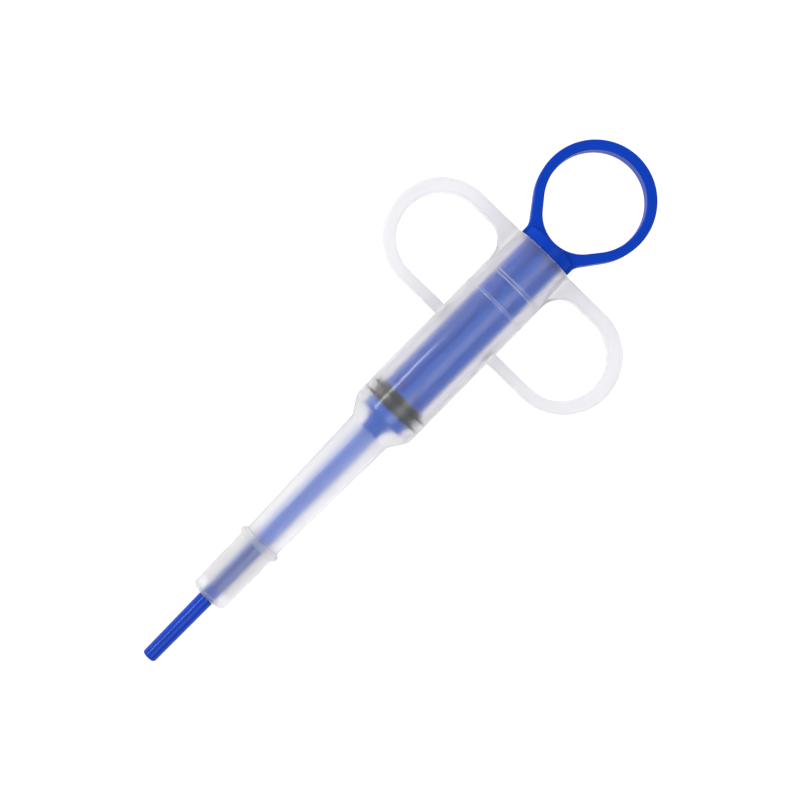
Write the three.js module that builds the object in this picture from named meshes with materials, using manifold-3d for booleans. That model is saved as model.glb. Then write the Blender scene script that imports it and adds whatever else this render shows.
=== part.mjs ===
// A push-rod oral dose syringe: a frosted barrel with a long nozzle and two closed finger loops, a soft tip on the
// nozzle's spigot, and a blue plunger whose rod reaches out through the tip. Millimetres, +Z up. The object lies
// level: its axis runs along X with the thumb ring at +X, and both finger loops lie in the horizontal plane.
// Along the axis, places are stations counted from the push rod's tip with the plunger pressed home.

import * as THREE from "three";
import { mergeVertices } from "three/addons/utils/BufferGeometryUtils.js";
import Module from "manifold-3d";

const wasm = await Module();
wasm.setup();

// Push rod and soft tip
const ROD_OUT = 24.0; // rod showing in front of the soft tip
const ROD_TIP_RADIUS = 2.23;
const ROD_DRAFT = 0.009; // radius gained for each millimetre towards the piston
const ROD_TIP_ROUNDING = 0.9;
const TIP_LENGTH = 22.6;
const TIP_WALL = 1.36; // around the spigot
const TIP_FRONT_ROUNDING = [1.7, 2.2]; // along the axis, and across it
const TIP_LIP = 1.2; // thickness of the wall around the mouth
const TIP_POCKET_LENGTH = 3.0; // hollow between the lip and the spigot, which holds the end of a tablet
const TIP_BEAD_WIDTH = 2.3;
const TIP_BEAD_HEIGHT = 1.15;

// Barrel, nozzle and spigot
const NOZZLE_LENGTH = 43.7; // from the soft tip to the shoulder
const NOZZLE_REAR_RADIUS = 6.86;
const SPIGOT_WALL = 1.0;
const NOZZLE_REAR_WALL = 1.95;
const SHOULDER_LENGTH = 5.4;
const BARREL_LENGTH = 65.4; // parallel stretch, from the shoulder to the rim
const BARREL_RADIUS = 10.34;
const BARREL_WALL = 1.84;
const RIM_ROUNDING = 0.35;
const RETAINING_BEAD_WIDTH = 1.0;
const RETAINING_BEAD_HEIGHT = 0.15;
const RETAINING_BEAD_TO_RIM = 12.2;
const WITNESS_RING_WIDTH = 0.4; // line left by a joint of the mould
const WITNESS_RING_HEIGHT = 0.1;
const WITNESS_RING_TO_RIM = 20.0;

// Finger loops: one plate with two holes, moulded in one with the barrel
const LOOPS_SPAN = 82.5;
const LOOPS_LENGTH = 33.5; // along the axis, up to the rim
const LOOPS_DEPTH = 7.6;
const LOOPS_ROUNDING = 1.1;
const LOOP_FRONT_LEG = 3.45;
const LOOP_REAR_LEG = 4.0;
const LOOP_END_WALL = 4.3;
const LOOP_ROOT_FILLET = 6.9;

// Plunger: piston, ribbed shaft, flange and thumb ring
const NOSE_LENGTH = 4.1;
const NOSE_STEP = 0.9; // the nose ends this much inside the front disc's edge
const DISC_ROUNDING = 0.3;
const FRONT_DISC = 3.5;
const REAR_DISC = 1.2;
const SEAL_LENGTH = 5.0;
const SEAL_GROOVE_DEPTH = 1.9;
const SEAL_LIP_WIDTH = 0.4;
const SEAL_LIP_SLOPE = 0.28;
const SEAL_LIP_TO_FRONT = 0.5; // from the seal's front face to the middle of its front lip
const SEAL_LIP_TO_REAR = 1.45;
const SHAFT_RIB = 1.8;
const FLANGE_LAP = 0.45; // how far the flange laps onto the rim, all round
const FLANGE_TO_HOLE = 0.75; // from the flange's rear face to the thumb hole
const FLANGE_ROUNDING = 0.4;
const NECK_LENGTH = 3.4; // from the rim to where the ring's straight sides leave the neck
const NECK_FILLET = 1.6;
const RING_HOLE_RADIUS = 14.65;
const RING_WALL = 2.95;
const RING_DEPTH = 8.4;
const RING_ROUNDING = 0.6;
const RING_NECK_WALL = 4.25; // from the rim to the ring's hole
const RING_HOLE_NARROWING = 3.25; // the hole is egg-shaped: its circle at the neck is this much smaller
const RING_HOLE_STRETCH = 5.2; // between the centres of the hole's main circle and its narrower one

// Clearances
const PUSH_FIT = 0.05; // radial, and at each side of the seal in its groove
const RUNNING_FIT = 0.08; // seal lips in the bore
const MOUTH_GAP = 0.3; // between the rod and the soft tip's mouth
const ROD_GAP = 0.65; // between the rod and the spigot's rear end
const DISC_GAP = 1.4; // between the piston's discs and the bore
const SHAFT_GAP = 1.6; // between the shaft's ribs and the bore
const SEAL_BODY_GAP = 0.64; // between the seal's body and the bore
const TIP_STEP = 0.05; // the nozzle stands this much inside the soft tip's outer surface
const SEAT_GAP = 0.1; // between faces that rest on each other
const PISTON_TO_SHOULDER = 0.55; // piston's front edge to the start of the shoulder, pressed home

const AROUND = 40; // facets around the axis, a multiple of four so that they match at each quarter turn
const ARC_STEPS = 8;
const ROUNDING_STEPS = 2;
const MERGE_WITHIN = 1e-4;
const BORE_OVERRUN = 1.0; // how far the bore's cutter runs past both ends of the barrel
const HOLE_INTO_WALL = 0.7; // share of the barrel's wall that a finger hole's inner edge lies within

// Stations worked out from the sizes above
const TIP_FRONT = ROD_OUT;
const TIP_REAR = TIP_FRONT + TIP_LENGTH;
const SPIGOT_FRONT = TIP_FRONT + TIP_LIP + TIP_POCKET_LENGTH + SEAT_GAP;
const NOZZLE_FRONT = TIP_REAR + SEAT_GAP;
const SHOULDER_FRONT = NOZZLE_FRONT + NOZZLE_LENGTH;
const SHOULDER_REAR = SHOULDER_FRONT + SHOULDER_LENGTH;
const RIM = SHOULDER_REAR + BARREL_LENGTH;
const BEAD_FRONT = RIM - RETAINING_BEAD_TO_RIM - RETAINING_BEAD_WIDTH;
const PISTON_FRONT = SHOULDER_REAR - PISTON_TO_SHOULDER;
const GROOVE_FRONT = PISTON_FRONT + FRONT_DISC;
const GROOVE_REAR = GROOVE_FRONT + SEAL_LENGTH + 2 * PUSH_FIT;
const PISTON_REAR = GROOVE_REAR + REAR_DISC;
const FLANGE_FRONT = RIM + SEAT_GAP;
const FLANGE_REAR = RIM + RING_NECK_WALL - FLANGE_TO_HOLE;
const RING_RADIUS = RING_HOLE_RADIUS + RING_WALL;
const RING_HOLE_NECK_RADIUS = RING_HOLE_RADIUS - RING_HOLE_NARROWING;
const RING_CENTRE = RIM + RING_NECK_WALL + RING_HOLE_NECK_RADIUS + RING_HOLE_STRETCH;
const OVERALL_LENGTH = RING_CENTRE + RING_RADIUS;

// Radii worked out from the sizes above: the soft tip and the spigot follow the rod, the piston follows the bore
const SPIGOT_BORE_RADIUS = rodRadius(NOZZLE_FRONT) + ROD_GAP;
const SPIGOT_RADIUS = SPIGOT_BORE_RADIUS + SPIGOT_WALL;
const TIP_RADIUS = SPIGOT_RADIUS + PUSH_FIT + TIP_WALL;
const NOZZLE_FRONT_RADIUS = TIP_RADIUS - TIP_STEP;
const BORE_RADIUS = BARREL_RADIUS - BARREL_WALL;
const DISC_RADIUS = BORE_RADIUS - DISC_GAP;
const NOSE_REAR_RADIUS = DISC_RADIUS - NOSE_STEP;
const SEAL_GROOVE_RADIUS = DISC_RADIUS - SEAL_GROOVE_DEPTH;
const SEAL_BODY_RADIUS = BORE_RADIUS - SEAL_BODY_GAP;
const SHAFT_HALF_WIDTH = BORE_RADIUS - SHAFT_GAP;
const FLANGE_RADIUS = BORE_RADIUS + FLANGE_LAP;

function rodRadius(station) {
  return ROD_TIP_RADIUS + ROD_DRAFT * station;
}

// Points on an ellipse about (station, radius), turned from angle to angle in degrees, where 0 points along the
// axis towards the thumb ring and 90 points away from the axis.
function arc(station, radius, alongAxis, across, from, to, steps = 4) {
  const points = [];
  for (let i = 0; i <= steps; i++) {
    const angle = THREE.MathUtils.degToRad(from + ((to - from) * i) / steps);
    points.push([station + alongAxis * Math.cos(angle), radius + across * Math.sin(angle)]);
  }
  return points;
}

// A solid of revolution about X from [station, radius] points, which run rearwards along the outside.
function turned(profile) {
  const points = profile.map(([station, radius]) => new THREE.Vector2(Math.max(radius, 0), station));
  return new THREE.LatheGeometry(points, AROUND).rotateZ(-Math.PI / 2);
}

// A flat piece in the horizontal plane, centred on the axis, with its long edges rounded inside its outline.
function flatPiece(shape, depth, rounding) {
  const geometry = new THREE.ExtrudeGeometry(shape, {
    depth: depth - 2 * rounding,
    curveSegments: ARC_STEPS,
    bevelSize: rounding,
    bevelThickness: rounding,
    bevelOffset: -rounding,
    bevelSegments: ROUNDING_STEPS,
  });
  return geometry.translate(0, 0, rounding - depth / 2);
}

function toManifold(geometry) {
  const bare = geometry.clone();
  bare.deleteAttribute("normal");
  bare.deleteAttribute("uv");
  const merged = mergeVertices(bare, MERGE_WITHIN);
  return new wasm.Manifold(
    new wasm.Mesh({
      numProp: 3,
      vertProperties: new Float32Array(merged.attributes.position.array),
      triVerts: new Uint32Array(merged.index.array),
    }),
  );
}

function toGeometry(solid) {
  const mesh = solid.getMesh();
  const geometry = new THREE.BufferGeometry();
  geometry.setAttribute("position", new THREE.BufferAttribute(mesh.vertProperties, mesh.numProp));
  geometry.setIndex(new THREE.BufferAttribute(mesh.triVerts, 1));
  geometry.computeVertexNormals();
  return geometry;
}

function nozzleOuterRadius(station) {
  const share = (station - NOZZLE_FRONT) / NOZZLE_LENGTH;
  return THREE.MathUtils.lerp(NOZZLE_FRONT_RADIUS, NOZZLE_REAR_RADIUS, share);
}

// Station at which the shoulder's inner cone, a wall's thickness inside the outer one, has the given radius.
function shoulderBoreStation(radius) {
  const rise = BARREL_RADIUS - NOZZLE_REAR_RADIUS;
  const slant = Math.hypot(rise, SHOULDER_LENGTH);
  const innerRadiusAtFront = NOZZLE_REAR_RADIUS - (BARREL_WALL * slant) / SHOULDER_LENGTH;
  return SHOULDER_FRONT + ((radius - innerRadiusAtFront) * SHOULDER_LENGTH) / rise;
}

function fingerHole(side) {
  const front = RIM - LOOPS_LENGTH + LOOP_FRONT_LEG;
  const rear = RIM - LOOP_REAR_LEG;
  const radius = (rear - front) / 2;
  const endCentre = LOOPS_SPAN / 2 - LOOP_END_WALL - radius;
  const rootCentre = [rear - LOOP_ROOT_FILLET, BARREL_RADIUS + LOOP_ROOT_FILLET];
  const insideBarrel = BARREL_RADIUS - BARREL_WALL * HOLE_INTO_WALL;
  const hole = new THREE.Path();
  hole.absarc((front + rear) / 2, side * endCentre, radius, Math.PI, 0, side > 0);
  hole.absarc(rootCentre[0], side * rootCentre[1], LOOP_ROOT_FILLET, 0, (-side * Math.PI) / 2, side > 0);
  hole.lineTo(rootCentre[0] - LOOP_ROOT_FILLET, side * insideBarrel);
  hole.lineTo(front, side * insideBarrel);
  hole.closePath();
  return hole;
}

function fingerLoops() {
  const radius = LOOPS_LENGTH / 2;
  const endCentre = LOOPS_SPAN / 2 - radius;
  const middle = RIM - radius;
  const plate = new THREE.Shape();
  plate.absarc(middle, endCentre, radius, 0, Math.PI, false);
  plate.absarc(middle, -endCentre, radius, Math.PI, 2 * Math.PI, false);
  plate.closePath();
  plate.holes.push(fingerHole(1), fingerHole(-1));
  return flatPiece(plate, LOOPS_DEPTH, LOOPS_ROUNDING);
}

function witnessRing(station) {
  return [
    [station - WITNESS_RING_WIDTH, BARREL_RADIUS],
    [station - WITNESS_RING_WIDTH / 2, BARREL_RADIUS + WITNESS_RING_HEIGHT],
    [station + WITNESS_RING_WIDTH / 2, BARREL_RADIUS + WITNESS_RING_HEIGHT],
    [station + WITNESS_RING_WIDTH, BARREL_RADIUS],
  ];
}

function barrel() {
  const outside = turned([
    [SPIGOT_FRONT, 0],
    [SPIGOT_FRONT, SPIGOT_RADIUS - RIM_ROUNDING],
    [SPIGOT_FRONT + RIM_ROUNDING, SPIGOT_RADIUS],
    [NOZZLE_FRONT, SPIGOT_RADIUS],
    [NOZZLE_FRONT, nozzleOuterRadius(NOZZLE_FRONT)],
    [SHOULDER_FRONT, NOZZLE_REAR_RADIUS],
    [SHOULDER_REAR, BARREL_RADIUS],
    ...witnessRing(RIM - WITNESS_RING_TO_RIM),
    [RIM - RIM_ROUNDING, BARREL_RADIUS],
    [RIM, BARREL_RADIUS - RIM_ROUNDING],
    [RIM, 0],
  ]);
  const nozzleBoreRear = NOZZLE_REAR_RADIUS - NOZZLE_REAR_WALL;
  const beadRear = BEAD_FRONT + RETAINING_BEAD_WIDTH;
  const inside = turned([
    [SPIGOT_FRONT - BORE_OVERRUN, 0],
    [SPIGOT_FRONT - BORE_OVERRUN, SPIGOT_BORE_RADIUS],
    [NOZZLE_FRONT, SPIGOT_BORE_RADIUS],
    [shoulderBoreStation(nozzleBoreRear), nozzleBoreRear],
    [shoulderBoreStation(BORE_RADIUS), BORE_RADIUS],
    [BEAD_FRONT, BORE_RADIUS],
    [BEAD_FRONT + RETAINING_BEAD_HEIGHT, BORE_RADIUS - RETAINING_BEAD_HEIGHT],
    [beadRear - RETAINING_BEAD_HEIGHT, BORE_RADIUS - RETAINING_BEAD_HEIGHT],
    [beadRear, BORE_RADIUS],
    [RIM + BORE_OVERRUN, BORE_RADIUS],
    [RIM + BORE_OVERRUN, 0],
  ]);
  return toManifold(outside).add(toManifold(fingerLoops())).subtract(toManifold(inside));
}

function softTip() {
  const beadMiddle = TIP_REAR - TIP_BEAD_WIDTH / 2;
  const mouth = rodRadius(TIP_FRONT + TIP_LIP) + MOUTH_GAP;
  const pocketRear = SPIGOT_FRONT - SEAT_GAP;
  const socket = SPIGOT_RADIUS + PUSH_FIT;
  const [along, across] = TIP_FRONT_ROUNDING;
  return toManifold(
    turned([
      [TIP_FRONT, mouth],
      ...arc(TIP_FRONT + along, TIP_RADIUS - across, along, across, 180, 90),
      ...arc(beadMiddle, TIP_RADIUS, TIP_BEAD_WIDTH / 2, TIP_BEAD_HEIGHT, 180, 0, 8),
      [TIP_REAR, socket],
      [pocketRear, socket],
      [pocketRear, SPIGOT_BORE_RADIUS],
      [TIP_FRONT + TIP_LIP, SPIGOT_BORE_RADIUS],
      [TIP_FRONT + TIP_LIP, mouth],
      [TIP_FRONT, mouth],
    ]),
  );
}

// One lip: a short crest in running contact with the bore, sloping down to the seal's body on both sides.
function sealLip(station) {
  const crest = BORE_RADIUS - RUNNING_FIT;
  return [
    [station - SEAL_LIP_WIDTH / 2 - SEAL_LIP_SLOPE, SEAL_BODY_RADIUS],
    [station - SEAL_LIP_WIDTH / 2, crest],
    [station + SEAL_LIP_WIDTH / 2, crest],
    [station + SEAL_LIP_WIDTH / 2 + SEAL_LIP_SLOPE, SEAL_BODY_RADIUS],
  ];
}

function pistonSeal() {
  const front = GROOVE_FRONT + PUSH_FIT;
  const rear = front + SEAL_LENGTH;
  return toManifold(
    turned([
      [front, SEAL_GROOVE_RADIUS + PUSH_FIT],
      [front, SEAL_BODY_RADIUS],
      ...sealLip(front + SEAL_LIP_TO_FRONT),
      ...sealLip(rear - SEAL_LIP_TO_REAR),
      [rear, SEAL_BODY_RADIUS],
      [rear, SEAL_GROOVE_RADIUS + PUSH_FIT],
      [front, SEAL_GROOVE_RADIUS + PUSH_FIT],
    ]),
  );
}

function rodAndPiston() {
  const noseFront = PISTON_FRONT - NOSE_LENGTH;
  const flare = NOSE_REAR_RADIUS - rodRadius(noseFront);
  return turned([
    [0, 0],
    ...arc(ROD_TIP_ROUNDING, rodRadius(0) - ROD_TIP_ROUNDING, ROD_TIP_ROUNDING, ROD_TIP_ROUNDING, 180, 90),
    ...arc(noseFront, NOSE_REAR_RADIUS, NOSE_LENGTH, flare, -90, 0),
    [PISTON_FRONT, DISC_RADIUS - DISC_ROUNDING],
    [PISTON_FRONT + DISC_ROUNDING, DISC_RADIUS],
    [GROOVE_FRONT, DISC_RADIUS],
    [GROOVE_FRONT, SEAL_GROOVE_RADIUS],
    [GROOVE_REAR, SEAL_GROOVE_RADIUS],
    [GROOVE_REAR, DISC_RADIUS],
    [PISTON_REAR, DISC_RADIUS],
    [PISTON_REAR, 0],
  ]);
}

function shaftRib(width, height) {
  const front = GROOVE_REAR + REAR_DISC / 2;
  const rear = (FLANGE_FRONT + FLANGE_REAR) / 2;
  return new THREE.BoxGeometry(rear - front, width, height).translate((front + rear) / 2, 0, 0);
}

// The round flange that stops on the rim and carries the thumb ring.
function flange() {
  return turned([
    [FLANGE_FRONT, 0],
    [FLANGE_FRONT, FLANGE_RADIUS - FLANGE_ROUNDING],
    [FLANGE_FRONT + FLANGE_ROUNDING, FLANGE_RADIUS],
    [FLANGE_REAR - FLANGE_ROUNDING, FLANGE_RADIUS],
    [FLANGE_REAR, FLANGE_RADIUS - FLANGE_ROUNDING],
    [FLANGE_REAR, 0],
  ]);
}

// The hole's outline: the main circle, and a narrower one towards the neck, joined by their common tangents.
function thumbHole() {
  const tangent = Math.PI - Math.acos((RING_HOLE_RADIUS - RING_HOLE_NECK_RADIUS) / RING_HOLE_STRETCH);
  const hole = new THREE.Path();
  hole.absarc(RING_CENTRE, 0, RING_HOLE_RADIUS, -tangent, tangent, false);
  const neckCentre = RING_CENTRE - RING_HOLE_STRETCH;
  hole.absarc(neckCentre, 0, RING_HOLE_NECK_RADIUS, tangent, 2 * Math.PI - tangent, false);
  hole.closePath();
  return hole;
}

function thumbRing() {
  const neckRear = RIM + NECK_LENGTH;
  const toCorner = Math.hypot(RING_CENTRE - neckRear, FLANGE_RADIUS);
  const cornerBelow = Math.asin(FLANGE_RADIUS / toCorner);
  const slope = Math.asin(RING_RADIUS / toCorner) - cornerBelow;
  const touch = slope + Math.PI / 2;
  const fillet = [neckRear + NECK_FILLET * Math.cos(slope), FLANGE_RADIUS + NECK_FILLET * Math.sin(slope)];
  const neckFront = FLANGE_FRONT + FLANGE_ROUNDING;
  const ring = new THREE.Shape();
  ring.moveTo(neckFront, -FLANGE_RADIUS);
  ring.lineTo(neckRear - NECK_FILLET, -FLANGE_RADIUS);
  ring.quadraticCurveTo(neckRear, -FLANGE_RADIUS, fillet[0], -fillet[1]);
  ring.absarc(RING_CENTRE, 0, RING_RADIUS, -touch, touch, false);
  ring.lineTo(fillet[0], fillet[1]);
  ring.quadraticCurveTo(neckRear, FLANGE_RADIUS, neckRear - NECK_FILLET, FLANGE_RADIUS);
  ring.lineTo(neckFront, FLANGE_RADIUS);
  ring.closePath();
  ring.holes.push(thumbHole());
  return flatPiece(ring, RING_DEPTH, RING_ROUNDING);
}

function plunger() {
  return [
    shaftRib(2 * SHAFT_HALF_WIDTH, SHAFT_RIB),
    shaftRib(SHAFT_RIB, 2 * SHAFT_HALF_WIDTH),
    flange(),
    thumbRing(),
  ].reduce((whole, piece) => whole.add(toManifold(piece)), toManifold(rodAndPiston()));
}

function piece(name, solid, look) {
  const mesh = new THREE.Mesh(toGeometry(solid), new THREE.MeshStandardMaterial(look));
  mesh.name = name;
  return mesh;
}

// Origin: under the middle of the object, at the height of the surface that the barrel lies on.
const syringe = new THREE.Group();
syringe.position.set(-OVERALL_LENGTH / 2, 0, BARREL_RADIUS + WITNESS_RING_HEIGHT);
syringe.add(
  piece("barrel", barrel(), { color: 0xe9e9ee, roughness: 0.35, metalness: 0, opacity: 0.5, transparent: true }),
  piece("soft_tip", softTip(), { color: 0xeceaec, roughness: 0.5, metalness: 0, opacity: 0.6, transparent: true }),
  piece("piston_seal", pistonSeal(), { color: 0x3c4644, roughness: 0.7, metalness: 0 }),
  piece("plunger", plunger(), { color: 0x1238c4, roughness: 0.35, metalness: 0 }),
);

export default syringe;
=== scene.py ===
"""Looks of a push-rod oral syringe: frosted barrel, milky soft tip, rubber seal and blue plunger."""

import math

import bmesh
import bpy
from bpy.props import FloatProperty, FloatVectorProperty, IntProperty, PointerProperty
from bpy.types import Operator, Panel, PropertyGroup
from mathutils import Matrix, Vector


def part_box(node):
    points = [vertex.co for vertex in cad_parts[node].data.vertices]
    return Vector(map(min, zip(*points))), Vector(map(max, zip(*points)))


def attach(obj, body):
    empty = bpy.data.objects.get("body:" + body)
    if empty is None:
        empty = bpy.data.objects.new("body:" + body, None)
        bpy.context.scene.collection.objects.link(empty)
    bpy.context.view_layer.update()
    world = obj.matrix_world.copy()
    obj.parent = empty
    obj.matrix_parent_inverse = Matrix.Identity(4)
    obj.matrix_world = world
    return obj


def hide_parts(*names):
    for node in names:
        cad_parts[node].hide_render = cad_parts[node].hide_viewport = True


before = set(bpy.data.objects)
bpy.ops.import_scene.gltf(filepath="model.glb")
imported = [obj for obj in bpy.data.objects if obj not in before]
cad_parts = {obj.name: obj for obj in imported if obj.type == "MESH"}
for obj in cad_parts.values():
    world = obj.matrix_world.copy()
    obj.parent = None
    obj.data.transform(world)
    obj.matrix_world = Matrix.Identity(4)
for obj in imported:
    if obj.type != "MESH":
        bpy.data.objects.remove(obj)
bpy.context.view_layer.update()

bl_info = {
    "name": "Oral Syringe",
    "version": (1, 0, 0),
    "blender": (4, 5, 0),
    "location": "3D View > Sidebar > Syringe",
    "description": "Builds the pieces of a push-rod oral syringe around its engineering frame",
    "category": "Object",
}

# Places along the axis, taken from the frame's own pieces
ROD_TIP_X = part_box("plunger")[0].x
RING_END_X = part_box("plunger")[1].x
TIP_FRONT_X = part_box("soft_tip")[0].x
TIP_REAR_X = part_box("soft_tip")[1].x
SPIGOT_FRONT_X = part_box("barrel")[0].x
RIM_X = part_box("barrel")[1].x
SEAL_FRONT_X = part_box("piston_seal")[0].x
SEAL_REAR_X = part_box("piston_seal")[1].x
AXIS_HEIGHT = (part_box("plunger")[0].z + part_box("plunger")[1].z) / 2
LOOPS_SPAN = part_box("barrel")[1].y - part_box("barrel")[0].y

MM = 0.001
WELD = 0.002 * MM
PUSH_FIT = 0.05 * MM
SEAT_GAP = 0.1 * MM

# Bands where the barrel's moulding grows thicker, measured across the syringe from its axis
TUBE_EDGE = (8.6 * MM, 10.0 * MM)
LOOP_ROOTS = (9.8 * MM, 11.0 * MM)
LOOP_PLATES = (12.0 * MM, 16.0 * MM)
LOOP_ENDS = (11.0 * MM, 26.0 * MM)

# Noise is read over this middle stretch of its values, because it seldom leaves it
NOISE_LOW = 0.3
NOISE_HIGH = 0.7
GRAIN_DEPTH = 0.05 * MM


# -----------------------------------------------------------------------------
# Settings
# -----------------------------------------------------------------------------


def length(label, what, millimetres):
    return FloatProperty(
        name=label, description=what, default=millimetres * MM, min=0.0, precision=5, unit="LENGTH"
    )


def colour(label, what, rgb):
    return FloatVectorProperty(
        name=label, description=what, default=rgb, min=0.0, max=1.0, size=3, subtype="COLOR"
    )


def share(label, what, value):
    return FloatProperty(name=label, description=what, default=value, min=0.0, max=1.0, subtype="FACTOR")


class BarrelSettings(PropertyGroup):
    radius: length("Barrel radius", "Outside radius of the parallel stretch", 10.34)
    wall: length("Wall", "Thickness of the barrel's wall", 1.84)
    parallel: length("Parallel length", "From the shoulder to the rim", 65.4)
    shoulder: length("Shoulder", "Length of the slope between nozzle and barrel", 5.4)
    shoulder_rounding: length("Shoulder rounding", "Fillet where the slope meets the barrel", 1.2)
    nozzle_rounding: length("Nozzle rounding", "Fillet where the nozzle meets the slope", 0.5)
    nozzle_edge: length("Nozzle edge", "Fillet on the nozzle's front edge", 0.3)
    nozzle_front: length("Nozzle front radius", "Outside radius behind the soft tip", 5.66)
    nozzle_rear: length("Nozzle rear radius", "Outside radius at the shoulder", 6.86)
    nozzle_rear_wall: length("Nozzle rear wall", "Wall at the wide end of the nozzle", 1.95)
    spigot_bore: length("Spigot bore", "Inside radius of the spigot", 3.3)
    spigot_wall: length("Spigot wall", "Wall of the spigot under the soft tip", 1.0)
    rim_rounding: length("Rim rounding", "Radius on the edges of the rim", 0.35)
    bead_to_rim: length("Bead to rim", "From the retaining bead in the bore to the rim", 12.2)
    bead_width: length("Bead width", "Width of the retaining bead", 1.0)
    bead_height: length("Bead height", "How far the retaining bead stands into the bore", 0.15)
    bead_rounding: length("Bead rounding", "Fillet on the retaining bead's edges", 0.1)
    witness_to_rim: length("Witness line to rim", "From the mould's witness line to the rim", 20.0)
    witness_height: length("Witness line height", "How far the witness line stands out", 0.1)
    witness_crest: length("Witness line crest", "Half the width of the witness line's crest", 0.2)
    witness_foot: length("Witness line foot", "Half the width of the witness line's foot", 0.4)
    witness_rounding: length("Witness line rounding", "Fillet on the witness line's edges", 0.08)
    mouth_chamfer: length("Mouth chamfer", "Chamfer on the rim's inner edge", 0.3)
    loops_length: length("Loop length", "Length of the finger loops along the axis", 33.5)
    loops_depth: length("Loop depth", "Thickness of the loops' plate", 7.6)
    loops_rounding: length("Loop rounding", "Radius on the loops' long edges", 1.1)
    front_leg: length("Front leg", "Width of the loops' front leg", 3.45)
    rear_leg: length("Rear leg", "Width of the loops' rear leg", 4.0)
    end_wall: length("End wall", "Width of the loops at their far ends", 4.3)
    root_fillet: length("Root fillet", "Radius where the rear leg runs into the barrel", 6.9)


class TipSettings(PropertyGroup):
    radius: length("Tip radius", "Outside radius of the sleeve", 5.71)
    front_along: length("Front rounding, along", "Length of the rounded front edge", 1.7)
    front_across: length("Front rounding, across", "Depth of the rounded front edge", 2.2)
    lip: length("Lip", "Wall around the mouth", 1.2)
    mouth: length("Mouth", "Radius of the mouth", 2.76)
    bead_width: length("Bead width", "Width of the rear bead", 2.3)
    bead_height: length("Bead height", "How far the rear bead stands out", 1.15)
    chamfer: length("Chamfer", "Chamfer on the edges of the mouth and the socket", 0.2)
    inner_rounding: length("Inner rounding", "Fillet on the pocket's rear and the mouth's inner edge", 0.3)
    lip_rounding: length("Lip rounding", "Fillet between the pocket and the lip", 0.5)


class SealSettings(PropertyGroup):
    body_radius: length("Body radius", "Outside radius between the lips", 7.86)
    lip_squeeze: length("Lip squeeze", "How far the lips press into the bore", 0.02)
    lip_width: length("Lip crest", "Width of each lip's crest", 0.4)
    lip_slope: length("Lip slope", "Length of the slope at each side of a lip", 0.28)
    lip_rounding: length("Lip rounding", "Fillet on the edges of a lip's crest", 0.1)
    lip_to_front: length("Front lip", "From the front face to the middle of the front lip", 0.5)
    lip_to_rear: length("Rear lip", "From the rear face to the middle of the rear lip", 1.45)
    inner_radius: length("Inner radius", "Radius of the hole", 5.25)


class PlungerSettings(PropertyGroup):
    rod_tip: length("Rod tip radius", "Radius at the rod's end", 2.23)
    rod_draft: share("Rod draft", "Radius gained along each unit of length to the piston", 0.009)
    rod_rounding: length("Rod end rounding", "Radius on the rod's end", 0.9)
    nose: length("Nose", "Length of the flare in front of the piston", 4.1)
    nose_radius: length("Nose radius", "Radius of the flare at the piston", 6.2)
    disc_radius: length("Disc radius", "Radius of the piston discs", 7.1)
    front_disc: length("Front disc", "Thickness of the disc in front of the seal", 3.5)
    rear_disc: length("Rear disc", "Thickness of the disc behind the seal", 1.2)
    disc_rounding: length("Disc rounding", "Fillet on the piston's outer edges", 0.3)
    groove_rounding: length("Groove rounding", "Fillet on the edges of the seal's groove", 0.15)
    groove_radius: length("Groove radius", "Radius at the bottom of the seal's groove", 5.2)
    groove_play: length("Groove play", "Gap at each side of the seal", 0.05)
    rib_reach: length("Rib reach", "From the axis to the outer edge of a shaft rib", 6.9)
    rib_thickness: length("Rib thickness", "Thickness of a shaft rib", 1.8)
    rib_rounding: length("Rib rounding", "Radius on a shaft rib's long edges", 0.25)
    ribs: IntProperty(name="Ribs", description="Ribs around the shaft", default=4, min=2, max=8)
    flange_radius: length("Flange radius", "Radius of the stop flange", 8.95)
    flange_to_hole: length("Flange to hole", "From the stop flange's rear face to the thumb hole", 0.75)
    flange_gap: length("Flange gap", "From the rim to the stop flange", 0.1)
    flange_front_edge: length("Flange front edge", "Fillet on the flange's front edge", 0.4)
    flange_rear_edge: length("Flange rear edge", "Fillet on the flange's rear edge", 0.7)
    neck: length("Neck", "From the rim to where the ring's sides leave the neck", 3.4)
    neck_fillet: length("Neck fillet", "Length of the fillet between neck and ring", 1.6)
    hole_radius: length("Thumb hole radius", "Radius of the thumb hole's main circle", 14.65)
    hole_neck_radius: length("Thumb hole neck radius", "Radius of the hole's narrower circle", 11.4)
    hole_stretch: length("Thumb hole stretch", "Between the centres of the hole's two circles", 5.2)
    ring_wall: length("Ring wall", "Width of the ring seen face on", 2.95)
    ring_depth: length("Ring depth", "Thickness of the ring", 8.4)
    ring_rounding: length("Ring rounding", "Radius on the ring's long edges", 0.6)


class FinishSettings(PropertyGroup):
    barrel: colour("Barrel", "Natural polypropylene", (0.985, 0.967, 0.97))
    thick_barrel: colour("Thick barrel", "The same where the moulding is thick", (0.82, 0.815, 0.84))
    tip: colour("Soft tip", "Milky silicone", (0.99, 0.975, 0.98))
    seal: colour("Seal", "Dark grey-green rubber", (0.016, 0.026, 0.027))
    plunger: colour("Plunger", "Royal blue polypropylene", (0.002, 0.048, 0.48))
    # Painted light: a lighter blue for the rod and shaft where they sit inside the frosted barrel and tip;
    # the real plunger is one blue all over.
    painted_lit_plunger: colour("Thin plunger", "The blue where the moulding is thin", (0.010, 0.16, 0.80))
    floor: colour("Floor", "Pale table top", (0.30, 0.30, 0.30))


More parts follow.
